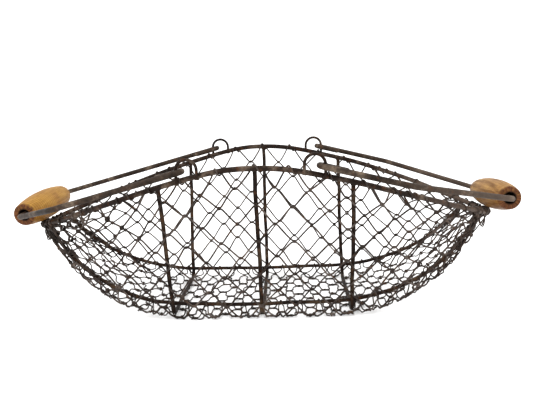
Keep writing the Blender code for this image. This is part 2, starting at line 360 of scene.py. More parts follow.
def wire_data(name, lines, radius, resolution):
    """Round wires along (points, closed, thickness) lines; thickness is one number or one a point."""
    curve = bpy.data.curves.new(name, "CURVE")
    curve.dimensions = "3D"
    curve.bevel_depth = radius
    curve.bevel_resolution = resolution
    curve.use_fill_caps = True
    for points, closed, thickness in lines:
        spline = curve.splines.new("POLY")
        count = len(points)
        spline.points.add(count - 1)
        spline.points.foreach_set("co", np.column_stack([points, np.ones(count)]).ravel())
        spline.points.foreach_set("radius", np.broadcast_to(thickness, count).astype(float).copy())
        spline.use_cyclic_u = closed
        spline.use_smooth = True
    return curve


def rounded_end_thickness(points, radius):
    """Thickness that falls to nearly nothing at both ends, so that a cut wire looks filed."""
    lengths = lengths_along(points)
    from_end = np.minimum(lengths, lengths[-1] - lengths)
    share = np.clip(from_end / radius, 0, 1)
    return np.sqrt(np.maximum(1 - (1 - share) ** 2, 0.05))


def with_end_points(points, radius):
    """The polyline with extra points close to both ends, where rounded_end_thickness needs them."""
    lengths = lengths_along(points)
    extra = radius * np.array([0.12, 0.35, 0.65, 1.0])
    stations = np.unique(np.concatenate([lengths, extra, lengths[-1] - extra]))
    return np.column_stack([np.interp(stations, lengths, column) for column in points.T])


def cut_wire(name, points, radius, material, body, node):
    """A single wire with filed ends, in the place of a node."""
    points = with_end_points(points, radius)
    data = wire_data(name, [(points, False, rounded_end_thickness(points, radius))], radius, 5)
    add_object(name, data, material, body, (node,))


# ---- materials --------------------------------------------------------------------------


def node_material(name):
    material = bpy.data.materials.new(name)
    material.use_nodes = True
    tree = material.node_tree
    return material, tree, tree.nodes["Principled BSDF"]


def add_node(tree, kind, **values):
    node = tree.nodes.new(kind)
    for key, value in values.items():
        if key in node.inputs:
            node.inputs[key].default_value = value
        else:
            setattr(node, key, value)
    return node


def noise(tree, vector, scale, detail, roughness, distortion=0.0):
    node = add_node(tree, "ShaderNodeTexNoise", Scale=scale, Detail=detail, Roughness=roughness)
    node.inputs["Distortion"].default_value = distortion
    tree.links.new(vector, node.inputs["Vector"])
    return node.outputs["Fac"]


def ramp(tree, value, stops):
    """A colour ramp over (position, colour) stops."""
    node = tree.nodes.new("ShaderNodeValToRGB")
    elements = node.color_ramp.elements
    while len(elements) < len(stops):
        elements.new(0.5)
    for element, (position, colour) in zip(elements, stops):
        element.position = position
        element.color = (*colour, 1.0)
    tree.links.new(value, node.inputs["Fac"])
    return node.outputs["Color"]


def grey(level):
    return (level, level, level)


def mixed(tree, share, first, second, blend="MIX"):
    """Two colours mixed; each argument is a socket, a colour or a number."""
    node = tree.nodes.new("ShaderNodeMix")
    node.data_type = "RGBA"
    node.blend_type = blend
    for key, value in (("Factor", share), ("A", first), ("B", second)):
        socket = node.inputs[key]
        if isinstance(value, bpy.types.NodeSocket):
            tree.links.new(value, socket)
        elif isinstance(value, tuple):
            socket.default_value = (*value, 1.0)
        else:
            socket.default_value = value
    return node.outputs["Result"]


def mapped(tree, value, low, high, at_low, at_high):
    """A value that goes evenly from at_low to at_high, and no further at either end."""
    node = tree.nodes.new("ShaderNodeMapRange")
    tree.links.new(value, node.inputs["Value"])
    node.inputs["From Min"].default_value = low
    node.inputs["From Max"].default_value = high
    node.inputs["To Min"].default_value = at_low
    node.inputs["To Max"].default_value = at_high
    return node.outputs["Result"]


def axis_value(tree, place, axis):
    split = tree.nodes.new("ShaderNodeSeparateXYZ")
    tree.links.new(place, split.inputs["Vector"])
    return split.outputs[axis]


def bumped(tree, shader, heights):
    """Chains bump nodes over (height socket, strength, distance in metres)."""
    normal = None
    for height, strength, distance in heights:
        node = add_node(tree, "ShaderNodeBump", Strength=strength, Distance=distance)
        tree.links.new(height, node.inputs["Height"])
        if normal is not None:
            tree.links.new(normal, node.inputs["Normal"])
        normal = node.outputs["Normal"]
    tree.links.new(normal, shader.inputs["Normal"])


def object_vector(tree, scale=(1, 1, 1)):
    """The object's own coordinates, in metres, stretched by a scale."""
    coordinates = tree.nodes.new("ShaderNodeTexCoord")
    mapping = tree.nodes.new("ShaderNodeMapping")
    mapping.inputs["Scale"].default_value = scale
    tree.links.new(coordinates.outputs["Object"], mapping.inputs["Vector"])
    return mapping.outputs["Vector"]


def lit_right_end(tree, place, body, share):
    """Painted light: paler metal towards the basket's right end, where light falls on it."""
    along = axis_value(tree, place, "X")
    reach = mapped(tree, along, RIGHT_LIGHT_FROM_X, RIM_HALF_LENGTH, 0.0, share)
    return mixed(tree, reach, body, RIGHT_LIT_STEEL)


def patina_steel(name, dark, middle, light, rust, metallic, right_light_share):
    """Weathered steel: mottled brown-grey, rusty specks, brighter patches, painted light towards the
    right end, a rough skin.
    """
    material, tree, shader = node_material(name)
    place = object_vector(tree)
    broad = noise(tree, place, 55.0, 5.0, 0.65)
    fine = noise(tree, place, 420.0, 5.0, 0.7)
    specks = noise(tree, place, 190.0, 3.0, 0.6)
    body = ramp(tree, broad, [(0.33, dark), (0.52, middle), (0.70, light)])
    grain = ramp(tree, fine, [(0.30, grey(0.62)), (0.70, grey(1.25))])
    body = mixed(tree, 1.0, body, grain, "MULTIPLY")
    rusty = ramp(tree, specks, [(0.56, grey(0.0)), (0.70, grey(0.75))])
    body = mixed(tree, rusty, body, rust)
    # Painted light: paler metal towards the basket's right end
    body = lit_right_end(tree, place, body, right_light_share)
    tree.links.new(body, shader.inputs["Base Color"])
    rough = ramp(tree, fine, [(0.32, grey(0.42)), (0.68, grey(0.66))])
    tree.links.new(rough, shader.inputs["Roughness"])
    shader.inputs["Metallic"].default_value = metallic
    shader.inputs["Specular IOR Level"].default_value = 0.09
    bumped(tree, shader, [(specks, 0.35, 0.0004), (fine, 0.30, 0.0002)])
    return material


def scorched_ends(tree, place, flat, body, end_reach):
    """Charred end faces, streaked outwards from the bore, with a ragged edge round the barrel."""
    length = add_node(tree, "ShaderNodeMath", operation="ABSOLUTE")
    tree.links.new(axis_value(tree, place, "Y"), length.inputs[0])
    ragged = noise(tree, object_vector(tree, (420, 60, 420)), 1.0, 4.0, 0.7)
    wander = add_node(tree, "ShaderNodeMath", operation="MULTIPLY_ADD")
    tree.links.new(ragged, wander.inputs[0])
    wander.inputs[1].default_value = end_reach
    tree.links.new(length.outputs[0], wander.inputs[2])
    edge_start = GRIP_HALF - 0.0020 + end_reach * 0.30
    edge_end = GRIP_HALF - 0.0002 + end_reach * 0.58
    scorch = mapped(tree, wander.outputs[0], edge_start, edge_end, 0.0, 1.0)
    spoke = add_node(tree, "ShaderNodeVectorMath", operation="NORMALIZE")
    tree.links.new(flat, spoke.inputs[0])
    rays = noise(tree, spoke.outputs["Vector"], 9.0, 5.0, 0.8)
    burnt = ramp(tree, rays, [(0.36, (0.022, 0.007, 0.003)), (0.52, (0.075, 0.023, 0.008)),
                              (0.68, (0.190, 0.068, 0.020))])
    return mixed(tree, scorch, body, burnt)


def shaded_bore(tree, flat, body):
    """Painted shade: near black in the bore, fading out over its edge."""
    across = add_node(tree, "ShaderNodeVectorMath", operation="LENGTH")
    tree.links.new(flat, across.inputs[0])
    inner = GRIP_BORE_RADIUS + 0.0002
    outer = GRIP_BORE_RADIUS + 0.0016
    # Painted shade in the bore, fading out over its edge
    bore_shade = mapped(tree, across.outputs["Value"], inner, outer, 1.0, 0.0)
    return mixed(tree, bore_shade, body, (0.006, 0.003, 0.002))


def turning_marks(tree, place):
    """Rings round the grip, as a turning tool leaves them."""
    bands = add_node(tree, "ShaderNodeTexWave", wave_type="BANDS", bands_direction="Y")
    bands.inputs["Scale"].default_value = 95.0
    bands.inputs["Distortion"].default_value = 1.2
    bands.inputs["Detail Scale"].default_value = 3.0
    tree.links.new(place, bands.inputs["Vector"])
    return bands.outputs["Fac"]


def turned_wood(name, pale, middle, deep, shade, hoops, grain_share, end_reach):
    """Turned wood: lengthwise grain, faint turning hoops, painted shade on the underside and scorched
    ends.
    """
    material, tree, shader = node_material(name)
    place = tree.nodes.new("ShaderNodeTexCoord").outputs["Object"]
    grain = noise(tree, object_vector(tree, (300, 16, 300)), 1.0, 6.0, 0.65, 0.6)
    cloud = noise(tree, place, 45.0, 3.0, 0.5)
    pores = noise(tree, object_vector(tree, (900, 90, 900)), 1.0, 3.0, 0.7)
    marks = turning_marks(tree, place)

    body = ramp(tree, cloud, [(0.30, middle), (0.62, pale)])
    streak = ramp(tree, grain, [(0.40, grey(grain_share)), (0.60, grey(0.0))])
    body = mixed(tree, streak, body, deep)
    dots = ramp(tree, pores, [(0.28, grey(0.55)), (0.42, grey(0.0))])
    body = mixed(tree, dots, body, deep)
    hoop = ramp(tree, marks, [(0.0, grey(hoops)), (0.45, grey(0.0))])
    body = mixed(tree, hoop, body, deep)
    # Painted shade: darker towards the grip's underside
    height = axis_value(tree, place, "Z")
    below = mapped(tree, height, -0.9 * GRIP_RADIUS, 0.5 * GRIP_RADIUS, shade, 0.0)
    body = mixed(tree, below, body, deep)

    flat = add_node(tree, "ShaderNodeVectorMath", operation="MULTIPLY")
    flat.inputs[1].default_value = (1.0, 0.0, 1.0)
    tree.links.new(place, flat.inputs[0])
    flat = flat.outputs["Vector"]
    body = scorched_ends(tree, place, flat, body, end_reach)
    # Painted shade in the bore
    body = shaded_bore(tree, flat, body)
    tree.links.new(body, shader.inputs["Base Color"])
    rough = ramp(tree, grain, [(0.35, grey(0.62)), (0.65, grey(0.44))])
    tree.links.new(rough, shader.inputs["Roughness"])
    shader.inputs["Specular IOR Level"].default_value = 0.12
    bumped(tree, shader, [(grain, 0.25, 0.0003), (pores, 0.20, 0.0002), (marks, 0.10, 0.0003)])
    return material


# ---- frame wires ------------------------------------------------------------------------


def rim_loop(spacing):
    """The rim's centreline once round, from the right tip by way of the back."""
    angle = np.linspace(0, math.pi / 2, 400)
    x = RIM_HALF_LENGTH * np.cos(angle)
    quarter = np.column_stack([x, rim_half_width(x), rim_z(x)])
    back = np.vstack([quarter[:-1], (quarter * (-1, 1, 1))[::-1]])
    loop = np.vstack([back[:-1], (back * (1, -1, 1))[:0:-1]])
    closed = np.vstack([loop, loop[:1]])
    return spaced(closed, spacing)[:-1]


def tip_line(side):
    """The rim's centreline from the front middle round one tip to the back middle."""
    loop = rim_loop(0.0008)
    return np.roll(loop, len(loop) // 2, axis=0)[len(loop) // 4:-len(loop) // 4] * (side, 1, 1)


def build_rim(steel, rng):
    points = rim_loop(0.0016)
    lengths = np.linspace(0, 2 * math.pi, len(points), endpoint=False)[:, None]
    for waves in (5, 9, 16):
        points = points + np.sin(lengths * waves + rng.uniform(0, ANY_PHASE, 3)) * (0.0016 / waves)
    data = wire_data("rim_wire", [(points, True, 1.0)], RIM_WIRE * RIM_WIRE_SHARE, 6)
    add_object("rim_wire", data, steel, "basket", ("rim_hoop",))


def chine_line(side):
    """A chine's centreline from left to right."""
    x = CHINE_HALF_LENGTH * np.sin(np.linspace(-math.pi / 2, math.pi / 2, 241))
    return spaced(np.column_stack([x, side * chine_half_width(x), CHINE_Z + chine_rise(x)]), 0.002)


def build_chines(steel, rng):
    for depth, side in DEPTHS.items():
        node = f"chine_{depth}"
        points = wavered(chine_line(side), size=0.0003, wavelength=0.09, rng=rng)
        cut_wire(f"{node}_wire", points, CHINE_WIRE, steel, "basket", node)


def rib_route(x):
    """A rib from the front of the rim down, under the basket and up to the back of the rim."""
    corner = section_corner(x)
    edge = np.array([rim_half_width(x) - EDGE_INSET, rim_z(x) - EDGE_DROP])
    along = unit(edge - corner)
    inward = np.array([-along[1], along[0]])
    base = corner + inward * RIB_INSET
    foot = base + along * (corner[1] + RIB_INSET - base[1]) / along[1]
    top = base + along * (rim_z(x) + RIB_LAP - base[1]) / along[1]
    half = [(x, foot[0], foot[1]), (x, top[0], top[1])]
    other_half = [(x, -y, z) for x, y, z in half[::-1]]
    return rounded_route(other_half + half, [RIB_CORNER_RADIUS] * 2, 10)


def build_ribs(steel, rng):
    for node in RIB_NODES:
        low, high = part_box(node)
        route = spaced(rib_route((low.x + high.x) / 2), 0.002)
        route = wavered(route, size=0.0003, wavelength=0.10, rng=rng)
        cut_wire(f"{node}_wire", route, RIB_WIRE, steel, "basket", node)


def build_eyes(steel):
    for depth, side_y in DEPTHS.items():
        for hand in SIDES:
            middle, y, centre_z = hinge_point(hand, side_y * eye_plane_y())
            top = centre_z + EYE_RADIUS
            legs = [middle - EYE_RADIUS, middle + EYE_RADIUS]
            feet = [(leg, y, rim_z(leg) - EYE_LEG_OVERLAP) for leg in legs]
            corners = [feet[0], (legs[0], y, top), (legs[1], y, top), feet[1]]
            route = spaced(rounded_route(corners, [EYE_RADIUS] * 2, 16), 0.0008)
            node = f"eye_{depth}_{hand}"
            cut_wire(f"{node}_wire", route, EYE_WIRE, steel, "basket", node)


def axes_matrix(place, out, across):
    """A place with X along out and Y along across."""
    turn = Matrix((out, across, out.cross(across))).transposed()
    return Matrix.Translation(place) @ turn.to_4x4()


def bail_route(hand):
    """A bail from hook to hook: both arms, their knees, and the cross run through the grip."""
    hinge, axis = joint_line(f"bail_{hand}_swing")
    grip, run = joint_line(f"grip_{hand}_spin")
    cross_middle = grip - run * ((grip - hinge).dot(axis) / run.dot(axis))
    place = axes_matrix(hinge, (cross_middle - hinge).normalized(), axis)
    eye_y = eye_plane_y()
    bend_x = EYE_RADIUS - HOOK_BEND_RADIUS
    ends = []
    for side, depth in ((1, "back"), (-1, "front")):
        knee_x, knee_y = BAIL_KNEES[hand, depth]
        own = [
            (HOOK_TAIL, side * (eye_y - HOOK_BEND_RADIUS), 0),
            (bend_x, side * (eye_y - HOOK_BEND_RADIUS), 0),
            (bend_x, side * (eye_y + HOOK_BEND_RADIUS), 0),
            (knee_x, side * knee_y, 0),
        ]
        corner = cross_middle + run * (side * BAIL_CORNER_Y / run.dot(axis))
        ends.append([place @ Vector(point) for point in own] + [corner])
    radii = [HOOK_BEND_RADIUS, HOOK_BEND_RADIUS, BAIL_KNEE_RADIUS, BAIL_CORNER_RADIUS]
    return rounded_route(ends[0] + ends[1][::-1], radii + radii[::-1], 10)


def build_bails(steel):
    for hand in SIDES:
        points = spaced(bail_route(hand), 0.0012)
        node = f"bail_{hand}"
        cut_wire(f"{node}_wire", points, BAIL_WIRE, steel, node, node)


# ---- netting ----------------------------------------------------------------------------


class Sheet:
    """A surface to weave on. Columns run across the basket, rows along it."""

    STEPS = 4

    def __init__(self, section, columns, rows, reach, crowding, facing):
        share = np.linspace(-1, 1, 2 * columns * self.STEPS + 1)
        xs = reach * np.sin(crowding * share * math.pi / 2) / math.sin(crowding * math.pi / 2)
        grid = [resampled(section(x), rows * self.STEPS + 1) for x in xs]
        self.points = np.array([[(x, y, z) for y, z in line] for x, line in zip(xs, grid)])
        along = np.gradient(self.points, axis=0)
        across = np.gradient(self.points, axis=1)
        normals = np.cross(across, along) * facing
        self.along = along / np.linalg.norm(along, axis=2)[:, :, None]
        self.normals = normals / np.linalg.norm(normals, axis=2)[:, :, None]
        self.columns = columns
        self.rows = rows

    def sample(self, table, column, row):
        """A grid's value at a column from -columns to columns and a row from 0 to rows."""
        i = min(max((column + self.columns) * self.STEPS, 0), table.shape[0] - 1.001)
        j = min(max(row * self.STEPS, 0), table.shape[1] - 1.001)
        a, b = int(i), int(j)
        s, t = i - a, j - b
        near = table[a, b] * (1 - t) + table[a, b + 1] * t
        far = table[a + 1, b] * (1 - t) + table[a + 1, b + 1] * t
        return near * (1 - s) + far * s

    def place(self, column, row):
        return self.sample(self.points, column, row)

    def frame(self, column, row):
        """Directions along the row, across it (towards higher rows), and out of the surface."""
        along = unit(self.sample(self.along, column, row))
        outward = unit(self.sample(self.normals, column, row))
        return along, unit(self.points_across(column, row)), outward

    def points_across(self, column, row):
        reach = 0.25
        return self.place(column, row + reach) - self.place(column, row - reach)


def wall_section(side):
    """A function that gives the wall netting at x, from the rim down and under the corner."""
    def section(x):
        corner = section_corner(x)
        edge = np.array([rim_half_width(x), rim_z(x)])
        reach = min(CORNER_REACH, 0.4 * np.linalg.norm(edge - corner))
        above = corner + unit(edge - corner) * reach
        under = corner - (reach, 0)
        line = np.vstack([edge, quadratic(above, corner, under, 9)])
        return line * (side, 1)
    return section


def floor_section(x):
    """The floor netting at x, from the front chine down, across and up to the back chine."""
    corner = section_corner(x)
    start = np.array([chine_half_width(x) + CHINE_WIRE, CHINE_Z + chine_rise(x)])
    shoulder = (start + corner) / 2 + (FLOOR_BULGE, 0)
    between = (shoulder + corner) / 2
    inner = corner - (FLOOR_CORNER_REACH, 0)
    outer_bend = quadratic(start, shoulder, between, 6)
    inner_bend = quadratic(between, corner, inner, 6)
    half = np.vstack([outer_bend, inner_bend[1:]])
    return np.vstack([half * (-1, 1), half[::-1]])


class Weave:
    """Wires that zigzag between neighbouring rows of a sheet and twist together where they meet."""

    def __init__(self, sheet, knot_half, twist, slack, roundness, jitter, looseness, rng):
        self.sheet = sheet
        self.knot_half = knot_half
        self.twist = twist
        self.slack = slack
        self.roundness = roundness
        self.rng = rng
        shape = (2 * sheet.columns + 1, sheet.rows + 1)
        edge = np.abs(np.arange(-sheet.columns, sheet.columns + 1) / sheet.columns)[:, None]
        wildness = 1 + looseness * edge ** 2
        self.shift_along = rng.normal(0, jitter, shape) * wildness
        self.shift_across = rng.normal(0, jitter, shape) * wildness
        self.shift_out = rng.normal(0, jitter * 0.5, shape)
        self.loose = rng.uniform(0, 1, shape) ** 3 * (0.5 + looseness * edge)
        self.knot_scale = rng.uniform(0.75, 1.3, shape)

    def knot_centre(self, column, row):
        along, across, outward = self.sheet.frame(column, row)
        key = (column + self.sheet.columns, row)
        centre = self.sheet.place(column, row)
        centre = centre + along * self.shift_along[key] + outward * self.shift_out[key]
        if 0 < row < self.sheet.rows:
            centre = centre + across * self.shift_across[key]
        return centre, along, across, outward

    def knot(self, column, row, upper):
        """One full turn of a wire round its neighbour. The upper wire hangs from the row above."""
        centre, along, across, outward = self.knot_centre(column, row)
        key = (column + self.sheet.columns, row)
        half = self.knot_half * self.knot_scale[key]
        radius = self.twist * (1 + 1.6 * self.loose[key])
        start = math.pi / 2 if not upper else -math.pi / 2
        points = []
        for share in np.linspace(0, 1, 9):
            angle = start + 2 * math.pi * share
            spread = math.sin(math.pi * share) ** 0.5
            offset = across * math.sin(angle) + outward * math.cos(angle) * spread
            points.append(centre + along * half * (2 * share - 1) + offset * radius)
        return points

    def tangent(self, column, row, row_step):
        """The way a wire leaves a knot: along its row, or square off the sheet's edge."""
        along, across, _ = self.sheet.frame(column, row)
        return across * row_step if row in (0, self.sheet.rows) else along

    def run(self, start, end, column, row, row_step):
        """The length of wire between two knots, curved where it leaves them."""
        chord = end - start
        distance = np.linalg.norm(chord)
        outward = unit(self.sheet.sample(self.sheet.normals, column + 0.5, row + row_step / 2))
        sideways = unit(np.cross(outward, chord))
        handle = self.roundness * distance * self.rng.uniform(0.7, 1.3)
        leaving = start + self.tangent(column, row, row_step) * handle
        reaching = end - self.tangent(column + 1, row + row_step, row_step) * handle
        bow, lift = self.rng.normal(0, self.slack, 2) * distance * (1, 0.5)
        first = self.sheet.place(column, row)
        last = self.sheet.place(column + 1, row + row_step)
        points = []
        for share in np.linspace(0, 1, 9)[1:-1]:
            on_sheet = self.sheet.place(column + share, row + row_step * share)
            follow = on_sheet - (first + (last - first) * share)
            rest = 1 - share
            point = start * rest ** 3 + end * share ** 3
            point = point + 3 * share * rest * (leaving * rest + reaching * share)
            arch = math.sin(math.pi * share)
            points.append(point + follow + (sideways * bow + outward * lift) * arch)
        return points

    def wire(self, index, first_column, last_column):
        """Points of the wire between rows index and index + 1."""
        points = []
        previous = None
        for column in range(first_column, last_column + 1):
            upper = (column + index) % 2 == 1
            row = index + 1 if upper else index
            knot = self.edge_knot(column, row, upper)
            if previous is not None:
                old_column, old_row = previous
                points += self.run(points[-1], knot[0], old_column, old_row, row - old_row)
            points += knot
            previous = (column, row)
        return np.array(points)

    def edge_knot(self, column, row, upper):
        """The knot at a place, which the kinds of weave wind round something at their edges."""
        return self.knot(column, row, upper)


class WallWeave(Weave):
    """Wall netting, whose top row is wound round the rim."""

    def edge_knot(self, column, row, upper):
        if row > 0:
            return super().edge_knot(column, row, upper)
        return self.rim_wrap(column, 1.1)

    def rim_wrap(self, column, turns):
        """Turns of a wire round the rim at a column."""
        along, across, outward = self.sheet.frame(column, 0)
        key = (column + self.sheet.columns, 0)
        centre = self.sheet.place(column, 0) + along * self.shift_along[key]
        half = RIM_WRAP_HALF * turns * self.knot_scale[key]
        points = []
        for share in np.linspace(0, 1, int(15 * turns)):
            angle = -math.pi / 2 - 2 * math.pi * (0.05 + turns * share)
            offset = outward * math.cos(angle) - across * math.sin(angle)
            points.append(centre + along * half * (2 * share - 1) + offset * RIM_WRAP_RADIUS)
        return points

    def edge_ties(self):
        """Short wires towards both ends, tied from the first row of knots up round the rim."""
        ties = []
        for column in range(1 - self.sheet.columns, self.sheet.columns):
            along_rim = abs(self.sheet.place(column, 0)[0])
            if column % TIE_EVERY == 1 and TIES_FROM_X < along_rim < TIES_TO_X:
                wrap = self.rim_wrap(column, 1.6)
                knot, _, _, _ = self.knot_centre(column, 1)
                slack = (wrap[0] + knot) / 2 + self.rng.normal(0, 0.0010, 3)
                lead = quadratic(knot, slack, wrap[0], 7)[:-1]
                ties.append((np.vstack([lead, wrap]), False, 1.0))
        return ties


class FloorWeave(Weave):
    """Floor netting, whose outer rows are wound round the chines."""

    def edge_knot(self, column, row, upper):
        if 0 < row < self.sheet.rows:
            return super().edge_knot(column, row, upper)
        side = -1 if row == 0 else 1
        x = self.sheet.place(column, row)[0]
        centre = np.array([x, side * chine_half_width(x), CHINE_Z + chine_rise(x)])
        along, _, _ = self.sheet.frame(column, row)
        key = (column + self.sheet.columns, row)
        radius = CHINE_WIRE + NET_WIRE * (0.9 + 0.8 * self.loose[key])
        half = CHINE_WRAP_HALF * self.knot_scale[key]
        points = []
        for share in np.linspace(0, 1, 13):
            angle = -math.pi / 2 - 2 * math.pi * share
            offset = np.array([0, side * math.cos(angle), math.sin(angle)])
            points.append(centre + along * half * (2 * share - 1) + offset * radius)
        return points


def kept_above_ground(points):
    """Points with a netting wire's centre no lower than its radius above the ground."""
    points = points.copy()
    points[:, 2] = np.maximum(points[:, 2], NET_WIRE)
    return points


def tip_ending(start, side_x, side_y, order, rng):
    """A wire's last stretch: from start to the rim near its tip, then wound round the rim."""
    tip = tip_line(side_x)
    middle = lengths_along(tip)[len(tip) // 2]
    distance = TIP_FIRST_WIRE + TIP_WIRE_SPACING * order
    station = middle + side_y * distance + rng.uniform(-0.001, 0.001)
    turns = rng.uniform(0.6, 1.1) * (1 if rng.random() < 0.6 else -1)
    radius = RIM_WIRE + NET_WIRE * rng.uniform(1.0, 1.5)
    coil = wound(tip, station, turns, rng.uniform(0.0012, 0.004), radius, rng.uniform(-2.6, -0.8))
    slack = (start + coil[0]) / 2 + rng.normal(0, 0.0012, 3) - (0, 0, 0.001)
    lead = quadratic(start, slack, coil[0], 7)[1:-1]
    return np.vstack([lead, coil])


def netting_lines(weave, tip_place, last_column, tip_every, rng):
    """All wires of a weave, ending in knots. Some go on, and are wound round the rim's tips.

    tip_place gives, for a wire's index, the side of the tip that it goes to and its order there.
    """
    lines = []
    for index in range(weave.sheet.rows):
        points = weave.wire(index, -last_column, last_column)
        if index % tip_every == 0:
            side_y, order = tip_place(index)
            ending = tip_ending(points[-1], 1, side_y, order, rng)
            beginning = tip_ending(points[0], -1, side_y, order, rng)[::-1]
            points = np.vstack([beginning, points, ending])
        lines.append((kept_above_ground(points), False, 1.0))
    return lines


def build_wall_netting(steel, depth, side):
    rng = np.random.default_rng(11 + side)
    sheet = Sheet(wall_section(side), columns=18, rows=9, reach=0.214, crowding=0.82, facing=-side)
    weave = WallWeave(sheet, knot_half=0.0017, twist=0.00076, slack=0.012, roundness=0.05,
                      jitter=0.0007, looseness=1.6, rng=rng)

    def tip_place(index):
        return side, index * 0.6

    lines = netting_lines(weave, tip_place, last_column=16, tip_every=4, rng=rng)
    lines += weave.edge_ties()
    name = f"netting_{depth}_wires"
    data = wire_data(name, lines, NET_WIRE * WALL_WIRE_SHARE, 1)
    add_object(name, data, steel, "basket", (f"netting_{depth}",))


def build_floor_netting(steel):
    rng = np.random.default_rng(29)
    sheet = Sheet(floor_section, columns=24, rows=12, reach=0.206, crowding=0.3, facing=1)
    weave = FloorWeave(sheet, knot_half=0.0011, twist=0.00070, slack=0.07, roundness=0.50,
                       jitter=0.0011, looseness=0.8, rng=rng)

    def tip_place(index):
        side = -1 if index < sheet.rows / 2 else 1
        return side, min(index, sheet.rows - 1 - index) * 0.8

    lines = netting_lines(weave, tip_place, last_column=23, tip_every=2, rng=rng)
    data = wire_data("netting_floor_wires", lines, NET_WIRE, 1)
    add_object("netting_floor_wires", data, steel, "basket", ("netting_floor",))


# ---- bindings and welds -----------------------------------------------------------------


def tip_coils(tip, rng):
    """Two strands wound round the tip's middle, one over the other, and a coil to each side."""
    middle = lengths_along(tip)[len(tip) // 2]
    for strand in range(2):
        reach = 0.011 - 0.004 * strand
        radius = RIM_WIRE + BINDING_WIRE * (1.1 + 1.3 * strand)
        turns = 3.4 - 0.8 * strand
        coil = wound(tip, middle - reach, turns, 2 * reach, radius, rng.uniform(0, ANY_PHASE))
        yield wavered(coil, size=0.0004, wavelength=0.012, rng=rng), False, 1.0
    for direction in (-1, 1):
        radius = RIM_WIRE + BINDING_WIRE * 1.2
        start = middle + direction * 0.012
        coil = wound(tip, start, 1.5, direction * 0.016, radius, rng.uniform(0, ANY_PHASE))
        yield wavered(coil, size=0.0004, wavelength=0.017, rng=rng), False, 1.0


def tip_loops(side, rng):
    """Loose loops of wire that hang below the tip."""
    for loop in range(3):
        turn = np.linspace(0.3, 2 * math.pi - 0.3, 22) + math.pi / 2
        drop = rng.uniform(0.0065, 0.0095)
        across = rng.uniform(-0.006, 0.006)
        out = side * (0.0022 + 0.0022 * np.cos(turn)) + side * (RIM_HALF_LENGTH - 0.004)
        down = RIM_TIP_Z - 0.001 - drop + drop * np.sin(turn)
        ring = np.column_stack([out, across + 0.0016 * np.sin(turn * 0.5 + loop), down])
        yield wavered(ring, size=0.0003, wavelength=0.010, rng=rng), False, 0.85


def build_bindings(steel):
    """Thin wire wound untidily round each tip of the rim, with loose loops hanging below."""
    for hand, side in SIDES.items():
        rng = np.random.default_rng(41 + side)
        lines = list(tip_coils(tip_line(side), rng)) + list(tip_loops(side, rng))
        name = f"tip_binding_{hand}_wires"
        data = wire_data(name, lines, BINDING_WIRE, 2)
        add_object(name, data, steel, "basket", (f"tip_binding_{hand}",))


def build_lacing(steel):
    """Wire laced round the ends of each chine, where the netting is drawn in."""
    rng = np.random.default_rng(53)
    lines = []
    for side in DEPTHS.values():
        line = chine_line(side)
        for end in (line, line[::-1]):
            for turns, length, radius in LACING:
                coil = wound(end, 0.002, turns, length, radius, rng.uniform(0, ANY_PHASE), 14)
                coil = wavered(coil, size=0.0003, wavelength=0.021, rng=rng)
                lines.append((coil, False, 1.0))
    data = wire_data("chine_lacing", lines, NET_WIRE, 1)
    add_object("chine_lacing", data, steel, "basket")


def weld_places():
    """Where pieces of the frame are welded, as (place, half sizes)."""
    for node in RIB_NODES:
        low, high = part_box(node)
        x = (low.x + high.x) / 2
        for side in DEPTHS.values():
            yield (x, side * (rim_half_width(x) - RIB_INSET), rim_z(x) - RIB_WELD_DROP), RIB_WELD
    for side_x in SIDES.values():
        for side_y in DEPTHS.values():
            x = side_x * (CHINE_HALF_LENGTH - CHINE_WELD_FROM_END)
            z = CHINE_Z + chine_rise(x) + CHINE_WELD_RISE
            yield (x, side_y * chine_half_width(x), z), CHINE_WELD
    for hand in SIDES:
        for side in DEPTHS.values():
            middle, y, _ = hinge_point(hand, side * eye_plane_y())
            for leg in (middle - EYE_RADIUS, middle + EYE_RADIUS):
                yield (leg, y - side * EYE_WELD_INSET, rim_z(leg) - EYE_WELD_DROP), EYE_WELD


def build_welds(steel):
    """A slightly lumpy bead at each weld, all in one piece."""
    rng = np.random.default_rng(67)
    built = bmesh.new()
    for place, half_sizes in weld_places():
        shape = Matrix.Translation(place) @ Matrix.Diagonal((*half_sizes, 1.0))
        ball = bmesh.ops.create_icosphere(built, subdivisions=3, radius=1.0, matrix=shape)
        phases = rng.uniform(0, 2 * math.pi, (3, 3))
        for vert in ball["verts"]:
            away = vert.co - Vector(place)
            lumps = sum(math.sin(away[i] * 1500 + phases[i, j]) for i in range(3) for j in range(3))
            vert.co = Vector(place) + away * (1 + 0.05 * lumps)
    mesh = bpy.data.meshes.new("weld_beads")
    built.to_mesh(mesh)
    built.free()
    mesh.shade_smooth()
    add_object("weld_beads", mesh, steel, "basket")


# ---- grips ------------------------------------------------------------------------------


def grip_outline():
    """Half outline of a grip from the bore out to its middle, as (distance along, radius)."""
    outline = [
        (GRIP_HALF - 0.0010, GRIP_BORE_RADIUS),
        (GRIP_HALF - 0.0002, GRIP_BORE_RADIUS + 0.0007),
    ]
    shoulder_y = GRIP_HALF - GRIP_EDGE
    for step in range(9):
        angle = math.pi / 2 * step / 8
        y = shoulder_y + GRIP_EDGE * math.cos(angle)
        outline.append((y, GRIP_END_RADIUS - GRIP_EDGE * 0.7 * (1 - math.sin(angle))))
    for step in range(1, 33):
        share = 1 - step / 32
        swell = (GRIP_RADIUS - GRIP_END_RADIUS) * (1 - share ** 2.2)
        ripple = 0.00005 * math.sin(share * 95)
        outline.append((shoulder_y * share, GRIP_END_RADIUS + swell + ripple))
    return outline


